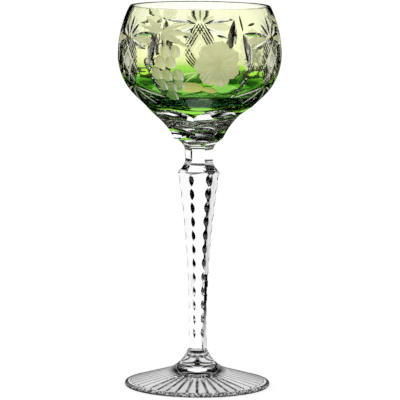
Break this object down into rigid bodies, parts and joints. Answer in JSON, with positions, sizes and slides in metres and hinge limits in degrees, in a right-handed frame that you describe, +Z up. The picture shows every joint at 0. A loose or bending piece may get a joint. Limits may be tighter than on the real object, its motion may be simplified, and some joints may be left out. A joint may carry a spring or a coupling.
{
  "type": "roemer wine glass",
  "caption": "Stemmed wine glass with a round cased green cut-to-clear bowl on a faceted, edge-notched stem and a star-cut round foot.",
  "frame": {"origin": "centre of the foot's underside, on the surface the glass stands on", "axes": "+Z up along the axis of the glass; -Y is the front, the side the picture shows"},
  "size_m": [0.0878, 0.0878, 0.206],
  "materials": {
    "clear_crystal": "polished clear lead crystal, cut facets bright",
    "green_glass": "polished yellow-green cased glass, cut through to clear"
  },
  "bodies": {
    "root": {"bowl": "clear_crystal", "green_casing": "green_glass", "merese": "clear_crystal", "stem": "clear_crystal", "foot": "clear_crystal"}
  },
  "joints": []
}
